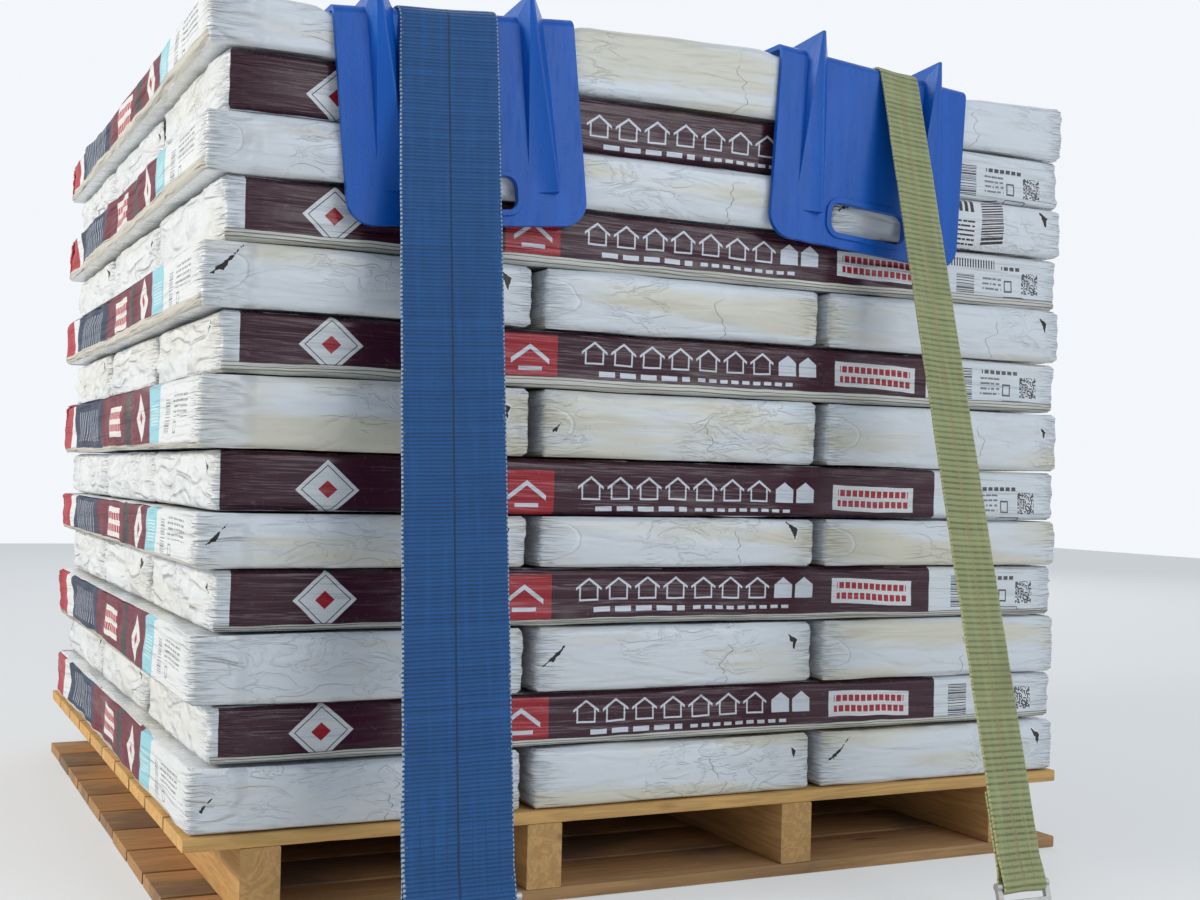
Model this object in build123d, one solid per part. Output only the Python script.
from build123d import *
import os
from math import atan, atan2, cos, degrees, radians, sin, tan

# A square pallet of wrapped shingle bundles, tied down with two webbing straps.
# Millimetres, +Z up, front towards -Y, origin at the bottom centre.

# Bundles: each is a packet of shingles in a plastic film
bundle_length = 1000.0
bundle_width = 335.0
bundles_per_layer = 3
packet_corner = 13.0      # cut of a packet's upright corners
packet_corner_ease = 4.0  # second, smaller cut that rounds them off
packet_rim = 5.0          # softened edges round the top and bottom
front_seam = 7.5          # gap between two ends that face the front
side_seam = 1.0           # gap between two ends that face the side
side_layer_setback = 6.0  # how far the printed sides stand behind the white ends in front

# Heights of the layers from the bottom up, and of the three bundles in the layer on top of them,
# where the middle one's top slopes
layer_heights = (62.0, 55.0, 67.0, 59.0, 53.0, 58.0, 70.0, 60.0, 63.0, 62.0, 59.0, 59.0)
top_left_height = 45.0
top_middle_left_height = 65.0
top_middle_right_height = 74.0
top_right_height = 58.0

# Pallet
board_thickness = 13.0
board_count = 10
board_gap = 6.5
board_edge = 1.5
stringer_width = 38.0
stringer_height = 65.0
stringer_centres = (72.0, 358.5, 657.5, 941.0)   # from the pallet's left edge

# Corner protectors: moulded plastic angles that spread the straps' pull
protector_width = 250.0
protector_leg = 206.0
protector_thickness = 6.0
protector_lean = 2.0           # degrees that the hanging leg stands out from the load
protector_corner_radius = 11.0
protector_outline_radius = 26.0
slot_length = 98.0
slot_height = 33.0
slot_corner_radius = 11.0
slot_from_edge = 16.0
slot_rim_width = 6.0
slot_rim_height = 2.5
fin_spacing = 157.0
fin_width = 31.0
fin_ridge = 3.0
fin_peak_shift = -6.0    # how far right of its middle a fin's ridge runs, at the corner and at its foot
fin_foot_shift = 13.5
fin_peak = 29.0
fin_foot = 7.0
fin_length = 173.0
blue_protector_inset = 243.0    # middle of the protector from the load's left edge
yellow_protector_inset = 740.0
seat_clearance = 0.02

# Straps: a wide one and a narrow one. Each leads from its protector's corner out to a hook
strap_thickness = 3.0
sewn_length = 90.0              # where the end is folded back and sewn, above the hook
blue_strap_width = 101.6
blue_strap_slope = 0.22         # how far it leads out from the load for each millimetre down
blue_strap_offset = -9.5        # from the middle of its protector
blue_hook_inset = 198.0         # from the load's left edge
blue_bar_height = 62.0
yellow_strap_width = 50.8
yellow_strap_slope = 0.30
yellow_strap_offset = 29.0
yellow_hook_inset = 747.0
yellow_bar_height = 44.0

# Flat hooks on the straps' ends
hook_thickness = 5.0
hook_bar_radius = 4.0
hook_window = 13.0
hook_cheek = 6.0
hook_lip = 26.0
hook_bend_radius = 9.0
eye_clearance = 0.3

# What follows is worked out from the sizes above
ends_width = bundles_per_layer * bundle_width + (bundles_per_layer - 1) * front_seam
ends_depth = bundles_per_layer * bundle_width + (bundles_per_layer - 1) * side_seam
stack_width = max(ends_width, bundle_length)
stack_depth = max(side_layer_setback + ends_depth, bundle_length)
pallet_height = 2 * board_thickness + stringer_height
top_layer_base = pallet_height + sum(layer_heights)
left = -stack_width / 2
front = -stack_depth / 2
half_turn = (90.0 - protector_lean) / 2     # degrees of bend in each half of a protector
corner_inside = protector_corner_radius - protector_thickness
corner_tangent = corner_inside * tan(radians(half_turn))

os.makedirs("parts", exist_ok=True)


def save(shape, node):
    """Write one node's file."""
    export_step(shape, f"parts/{node}.step")


def packet(height, right_height):
    """One wrapped bundle along X, resting on z = 0, with every edge of its film softened. Its top
    slopes from one height at the +Y side to the other at the -Y side, where they differ."""
    outline = Rectangle(bundle_length, bundle_width)
    outline = chamfer(outline.vertices(), packet_corner)
    outline = chamfer(outline.vertices(), packet_corner_ease)
    body = extrude(outline, max(height, right_height))
    if height != right_height:
        slope = Plane((0, bundle_width / 2, height), z_dir=(0, right_height - height, bundle_width))
        body = split(body, bisect_by=slope, keep=Keep.BOTTOM)
    rims = body.faces().sort_by(Axis.Z)
    return chamfer(rims[0].edges() + rims[-1].edges(), packet_rim)


def ends_in_front(heights, base):
    """A layer that shows three ends in front and a long side at the left. Each bundle has its
    heights at its left and right."""
    solids = []
    for slot, pair in enumerate(heights):
        x = (slot - (bundles_per_layer - 1) / 2) * (bundle_width + front_seam)
        solids.append(Pos(x, front + bundle_length / 2, base) * Rot(0, 0, 90) * packet(*pair))
    return Compound(children=solids)


def side_in_front(height, base):
    """A layer that shows one long side in front, flush at the right and set in at the left."""
    solids = []
    for slot in range(bundles_per_layer):
        y = (slot - (bundles_per_layer - 1) / 2) * (bundle_width + side_seam)
        place = Pos(-left - bundle_length / 2, y + side_layer_setback / 2, base)
        solids.append(place * packet(height, height))
    return Compound(children=solids)


def deck(base):
    """A row of boards from left to right, evenly spaced from front to back."""
    board_width = (stack_depth - (board_count - 1) * board_gap) / board_count
    board = Box(stack_width, board_width, board_thickness)
    board = chamfer(board.edges().filter_by(Axis.X), board_edge)
    first = front + board_width / 2
    places = [Pos(0, first + n * (board_width + board_gap), base + board_thickness / 2)
              for n in range(board_count)]
    return Compound(children=[place * board for place in places])


def stringers():
    """The bearers from front to back between the two decks."""
    beam = Box(stringer_width, stack_depth, stringer_height)
    height = board_thickness + stringer_height / 2
    return Compound(children=[Pos(left + centre, 0, height) * beam for centre in stringer_centres])


def on_bisector(across, reach):
    """A point on the plane where a protector's two halves meet, that far from the bend's axis."""
    angle = radians(half_turn)
    return (across, corner_tangent - reach * sin(angle), reach * cos(angle) - corner_inside)


def fin(x):
    """One leg's half of a fin, tall at the corner, shallow at its foot, its ridge running askew."""
    buried = protector_thickness / 2
    foot_top = protector_thickness + fin_foot
    peak = protector_corner_radius + fin_peak
    points = []
    for side in (-1, 1):
        root_x = x + side * fin_width / 2
        points += [(root_x, fin_length, buried), on_bisector(root_x, corner_inside + buried)]
        points.append((x + fin_foot_shift + side * fin_ridge / 2, fin_length, foot_top))
        points.append(on_bisector(x + fin_peak_shift + side * fin_ridge / 2, peak))
    return ConvexPolyhedron(points)


def leg():
    """A protector's leg lying flat on z = 0, from its end at +Y in to half of the rounded corner."""
    length = protector_leg - corner_tangent
    outline = Pos(0, corner_tangent + length / 2) * Rectangle(protector_width, length)
    outline = fillet(outline.vertices().group_by(Axis.Y)[-1], protector_outline_radius)
    root = Plane((0, corner_tangent, protector_thickness / 2), x_dir=(1, 0, 0), z_dir=(0, -1, 0))
    bend = Axis((0, corner_tangent, -corner_inside), (1, 0, 0))
    made = extrude(outline, protector_thickness)
    made += revolve(root * Rectangle(protector_width, protector_thickness), bend, half_turn)
    return made + fin(-fin_spacing / 2) + fin(fin_spacing / 2)


def hand_slot(rim_width, depth):
    """A block the shape of the hand slot in a flat leg, or of the raised rim round it."""
    centre = protector_leg - slot_from_edge - slot_height / 2
    outline = RectangleRounded(slot_length + 2 * rim_width, slot_height + 2 * rim_width,
                               slot_corner_radius + rim_width)
    return extrude(Pos(0, centre) * outline, depth)


def protector():
    """A front protector on its own corner line: one leg on the load's top, one hanging in front."""
    deep = protector_thickness + slot_rim_height
    hanging = leg() + hand_slot(slot_rim_width, deep) - hand_slot(0, deep)
    return leg() + Rot(2 * half_turn, 0, 0) * mirror(hanging, Plane.XZ)


def seat(inset, outer_height, side):
    """Where a front protector lies: its outer end on the outer bundle, its middle on the rim of the
    taller middle bundle, so that it leans towards the nearer side of the load."""
    end_x = left + inset + side * protector_width / 2
    end_z = top_layer_base + outer_height
    rim_x = bundle_width / 2 - packet_rim
    mean = (top_middle_left_height + top_middle_right_height) / 2
    climb = (top_middle_right_height - top_middle_left_height) / bundle_width
    shoulder = mean + side * rim_x * climb
    tilt = degrees(atan2(shoulder - outer_height, abs(end_x) - rim_x))
    middle = Pos(-side * protector_width / 2, 0, seat_clearance)
    return Pos(end_x, front, end_z) * Rot(0, side * tilt, 0) * middle


def section(plane, width, low, high):
    """A strap's cross-section on a plane, between two distances out from the load."""
    return plane * Pos(0, (low + high) / 2) * Rectangle(width, high - low)


def run_planes(place, offset, slope, hook_inset, bar_height):
    """Planes square to the front run of a strap, at its corner's lower end and at its hook's bar.
    Their y axes point out of the load, and their origins lie on the strap's inner face."""
    angle = atan(slope)
    down = (0, -sin(angle), -cos(angle))
    top_y = corner_tangent - protector_corner_radius * cos(angle)
    top_z = protector_corner_radius * sin(angle) - corner_inside
    top = Plane(place * Plane((offset, top_y, top_z), x_dir=(1, 0, 0), z_dir=down).location)
    bar_y = top.origin.Y - (top.origin.Z - bar_height) * slope
    return top, Plane((left + hook_inset, bar_y, bar_height), x_dir=(1, 0, 0), z_dir=down)


def strap_half(place, offset, top, bar, width, slope):
    """The front half of a strap: along the top, round the corner, out and down to its sewn eye."""
    middle = stack_depth / 2
    bend = Axis((0, corner_tangent, -corner_inside), (1, 0, 0))
    start = Plane((offset, corner_tangent, protector_thickness), x_dir=(1, 0, 0), z_dir=(0, -1, 0))
    level = Pos(offset, (middle + corner_tangent) / 2, protector_thickness + strap_thickness / 2)
    upper = level * Box(width, middle - corner_tangent, strap_thickness)
    upper += revolve(section(start, width, 0, strap_thickness), bend, 90 - degrees(atan(slope)))
    rise = top.origin - bar.origin
    fold = Plane(bar.origin + rise * (sewn_length / rise.length), x_dir=bar.x_dir, z_dir=bar.z_dir)
    made = place * upper
    made += loft([section(top, width, 0, strap_thickness),
                  section(bar, width, 0, strap_thickness)], ruled=True)
    made += loft([section(fold, width, -strap_thickness, strap_thickness / 2),
                  section(bar, width, -strap_thickness, strap_thickness / 2)], ruled=True)
    hole = hook_bar_radius + eye_clearance
    eye = Pos(bar.origin) * Rot(0, 90, 0)
    return made + eye * Cylinder(hole + strap_thickness, width) - eye * Cylinder(hole, 2 * width)


def hook(bar, width, slope):
    """A flat hook: a bar in the strap's eye, two cheeks, a plate and a lip along the floor."""
    full_width = width + 2 * hook_cheek
    low = hook_thickness / 2
    x, y, z = bar.origin
    heel = y - (z - low) * slope
    path = FilletPolyline((y, z), (heel, low), (heel + hook_lip, low), radius=hook_bend_radius)
    side = Plane.YZ.offset(x - full_width / 2)
    made = extrude(side * trace(path, hook_thickness), full_width, dir=(1, 0, 0))
    turned = Pos(bar.origin) * Rot(-degrees(atan(slope)), 0, 0)
    made -= turned * Box(width + 2 * eye_clearance, 8 * hook_thickness, 2 * hook_window)
    return made + Pos(bar.origin) * Rot(0, 90, 0) * Cylinder(hook_bar_radius, full_width)


base = pallet_height
for number, height in enumerate(layer_heights, start=1):
    if number % 2:
        layer = ends_in_front([(height, height)] * bundles_per_layer, base)
    else:
        layer = side_in_front(height, base)
    save(layer, f"bundle_layer_{number:02d}")
    base += height
top_heights = ((top_left_height, top_left_height),
               (top_middle_left_height, top_middle_right_height),
               (top_right_height, top_right_height))
save(ends_in_front(top_heights, top_layer_base), "bundle_layer_13")
save(deck(0), "bottom_deck_boards")
save(stringers(), "stringers")
save(deck(board_thickness + stringer_height), "top_deck_boards")

moulding = protector()
straps = (
    ("blue", seat(blue_protector_inset, top_left_height, -1), blue_strap_offset, blue_strap_width,
     blue_strap_slope, blue_hook_inset, blue_bar_height),
    ("yellow", seat(yellow_protector_inset, top_right_height, 1), yellow_strap_offset,
     yellow_strap_width, yellow_strap_slope, yellow_hook_inset, yellow_bar_height))
for colour, place, offset, width, slope, hook_inset, bar_height in straps:
    top, bar = run_planes(place, offset, slope, hook_inset, bar_height)
    front_half = strap_half(place, offset, top, bar, width, slope)
    front_hook = hook(bar, width, slope)
    save(front_half + mirror(front_half, Plane.XZ), f"{colour}_strap")
    save(place * moulding, f"{colour}_strap_front_protector")
    save(place * Pos(0, stack_depth, 0) * Rot(0, 0, 180) * moulding, f"{colour}_strap_back_protector")
    save(front_hook, f"{colour}_strap_front_hook")
    save(mirror(front_hook, Plane.XZ), f"{colour}_strap_back_hook")
